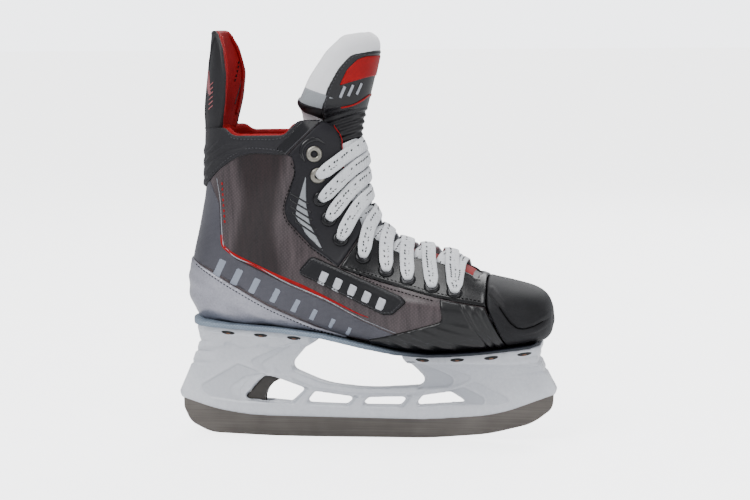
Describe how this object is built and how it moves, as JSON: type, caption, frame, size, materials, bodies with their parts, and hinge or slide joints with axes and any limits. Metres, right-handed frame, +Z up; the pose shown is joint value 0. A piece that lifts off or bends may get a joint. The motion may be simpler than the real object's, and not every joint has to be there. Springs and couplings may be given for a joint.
{
  "type": "ice hockey skate",
  "caption": "Right ice hockey skate: stiff laced boot with tendon guard, two-tower blade holder and quick-release rockered runner.",
  "frame": {"origin": "on the ice plane, under the middle of the skate", "axes": "+X towards the toe, +Y towards the medial side (a right skate), +Z up"},
  "size_m": [0.2889, 0.1004, 0.309],
  "materials": {
    "shell_knit": "satin composite with a fine weave",
    "toe_plastic": "grained",
    "collar_fabric": "embossed synthetic",
    "heel_silver": "silver film",
    "facing_black": "coated",
    "badge_black": "stitched patch",
    "lining_red": "brushed",
    "guard_lining_red": "brushed",
    "guard_black": "satin",
    "panel_black": "moulded ribs",
    "outsole_composite": "woven composite",
    "board": "pressed board",
    "foam": "foam with cloth face",
    "eyelet_pewter": "pewter",
    "eyelet_black": "black",
    "felt_white": "felt",
    "tongue_black": "coated, stitched",
    "lace_white": "flat woven",
    "holder_plastic": "moulded",
    "runner_steel": "ground",
    "trigger_plastic": "moulded",
    "pin_steel": "plain",
    "rivet_copper": "copper"
  },
  "bodies": {
    "boot": {"ankle_lining": "lining_red", "blade_holder": "holder_plastic", "collar_band": "collar_fabric", "eyelets_lower": "eyelet_black", "eyelets_top": "eyelet_pewter", "facing_lower_lateral": "facing_black", "facing_lower_medial": "facing_black", "facing_upper_lateral": "facing_black", "facing_upper_medial": "facing_black", "footbed": "foam", "forefoot_panel_lateral": "panel_black", "forefoot_panel_medial": "panel_black", "heel_counter": "board", "heel_cup": "heel_silver", "insole_board": "board", "lace": "lace_white", "outsole": "outsole_composite", "quarter_shell": "shell_knit", "rivet_washers": "pin_steel", "rivets_front": "rivet_copper", "rivets_rear": "rivet_copper", "side_badge_lateral": "badge_black", "side_badge_medial": "badge_black", "toe_cap": "toe_plastic", "toe_liner": "foam", "tongue_base_cover": "tongue_black", "tongue_base_felt": "felt_white", "trigger_pin": "pin_steel", "trigger_spring": "pin_steel"},
    "tongue": {"tongue_top_cover": "tongue_black", "tongue_top_felt": "felt_white", "tongue_badge": "badge_black"},
    "tendon_guard": {"tendon_guard_panel": "guard_black", "tendon_guard_lining": "guard_lining_red"},
    "runner": {"runner": "runner_steel"},
    "trigger": {"trigger": "trigger_plastic"}
  },
  "joints": [
    {"name": "tongue_flex", "type": "hinge", "parent": "boot", "child": "tongue", "pos_m": [-0.003, 0, 0.2115], "axis": [0, 1, 0], "range_deg": [-4, 30]},
    {"name": "tendon_guard_flex", "type": "hinge", "parent": "boot", "child": "tendon_guard", "pos_m": [-0.1185, 0, 0.239], "axis": [0, -1, 0], "range_deg": [-4, 22], "stiffness_Nm_per_rad": 1.5},
    {"name": "trigger_pull", "type": "hinge", "parent": "boot", "child": "trigger", "pos_m": [-0.071, 0, 0.05], "axis": [0, 1, 0], "range_deg": [0, 11], "stiffness_Nm_per_rad": 0.6, "springref_deg": -22.92},
    {"name": "runner_release", "type": "hinge", "parent": "boot", "child": "runner", "pos_m": [0.124, 0, 0.033], "axis": [0, -1, 0], "range_deg": [0, 3]}
  ],
  "couplings": [
    {"joint": "runner_release", "follows": "trigger_pull", "ratio": 0.2727}
  ]
}
